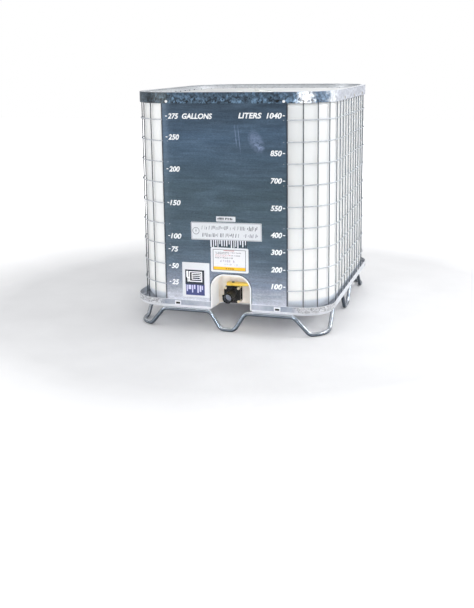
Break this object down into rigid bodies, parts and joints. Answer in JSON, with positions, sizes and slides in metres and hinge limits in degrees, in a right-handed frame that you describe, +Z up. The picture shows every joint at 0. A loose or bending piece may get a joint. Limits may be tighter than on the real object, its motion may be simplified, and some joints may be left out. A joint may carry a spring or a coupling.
{
  "type": "intermediate bulk container",
  "caption": "Caged bulk liquid container: white moulded bottle in a rounded wire cage with sheet front panel, on a pressed pan with a bent tube foot ring, and a butterfly valve in a front arch.",
  "frame": {"origin": "on the floor, at the middle of the footprint of the base pan", "axes": "+Z up, -Y to the front, where the valve and the panel are, +X to the right seen from the front"},
  "size_m": [1.02, 1.227, 1.168],
  "materials": {
    "galvanised_band": "hot-dip galvanised, visible spangle",
    "galvanised_panel": "galvanised sheet, cold grey",
    "galvanised_pan": "galvanised pressed sheet",
    "foot_tube": "galvanised tube",
    "wire": "bright galvanised wire",
    "bottle_plastic": "natural polyethylene, translucent white",
    "lid_plastic": "moulded white polyethylene",
    "seal_rubber": "moulded rubber",
    "seat_plastic": "moulded light grey plastic",
    "valve_plastic": "glass-filled black plastic",
    "handle_plastic": "moulded yellow plastic",
    "fastener": "yellow-plated steel",
    "screw_dark": "dark oxide steel",
    "plug_plastic": "moulded pale grey-blue plastic",
    "label_white": "white printed plate",
    "label_card": "printed card"
  },
  "bodies": {
    "tank": {"front_foot_tube": "foot_tube", "rear_foot_tube": "foot_tube", "left_cross_beam": "galvanised_pan", "right_cross_beam": "galvanised_pan", "centre_foot": "foot_tube", "base_pan": "galvanised_pan", "vertical_wires": "wire", "horizontal_wires": "wire", "front_panel": "galvanised_panel", "niche_rim": "lid_plastic", "top_band": "galvanised_band", "panel_screws": "fastener", "band_rivets": "fastener", "pan_clips": "galvanised_pan", "bottle": "bottle_plastic", "inlet_gasket": "seal_rubber", "valve_inlet_end": "valve_plastic", "valve_body": "valve_plastic", "valve_outlet_end": "valve_plastic", "disc_seat": "seal_rubber", "valve_bolts": "fastener", "valve_nuts": "fastener", "rating_plate": "label_white", "name_tag": "label_white", "placard_frame": "label_white", "placard_card": "label_card", "inspection_label": "label_card"},
    "lever": {"valve_handle": "handle_plastic", "handle_screw": "screw_dark", "valve_stem": "fastener", "stem_o_rings": "seal_rubber", "valve_disc": "seat_plastic", "disc_pin": "fastener"},
    "lid_seal": {"lid_gasket": "seal_rubber"},
    "lid": {"fill_lid": "lid_plastic"},
    "vent_seal": {"vent_gasket": "seal_rubber"},
    "vent": {"vent_plug": "lid_plastic"},
    "plug_seal": {"plug_gasket": "seal_rubber"},
    "plug": {"dust_plug": "plug_plastic"}
  },
  "joints": [
    {"name": "lever_turn", "type": "hinge", "parent": "tank", "child": "lever", "pos_m": [0, -0.497, 0.219], "axis": [0, 0, -1], "range_deg": [0, 90]},
    {"name": "lid_lift", "type": "slide", "parent": "tank", "child": "lid_seal", "axis": [0, 0, 1], "range_m": [0, 0.0162]},
    {"name": "lid_turn", "type": "hinge", "parent": "lid_seal", "child": "lid", "pos_m": [0, 0, 1.14], "axis": [0, 0, 1], "range_deg": [0, 720]},
    {"name": "vent_lift", "type": "slide", "parent": "lid", "child": "vent_seal", "axis": [0, 0, 1], "range_m": [0, 0.0092]},
    {"name": "vent_turn", "type": "hinge", "parent": "vent_seal", "child": "vent", "pos_m": [0, 0, 1.15], "axis": [0, 0, 1], "range_deg": [0, 1080]},
    {"name": "plug_slide", "type": "slide", "parent": "tank", "child": "plug_seal", "axis": [0, -1, 0], "range_m": [0, 0.01175]},
    {"name": "plug_turn", "type": "hinge", "parent": "plug_seal", "child": "plug", "pos_m": [0, -0.575, 0.167], "axis": [0, -1, 0], "range_deg": [0, 1800]}
  ],
  "couplings": [
    {"joint": "lid_lift", "follows": "lid_turn", "m_per_rad": 0.0012732},
    {"joint": "vent_lift", "follows": "vent_turn", "m_per_rad": 0.00047746},
    {"joint": "plug_slide", "follows": "plug_turn", "m_per_rad": 0.00036751}
  ]
}
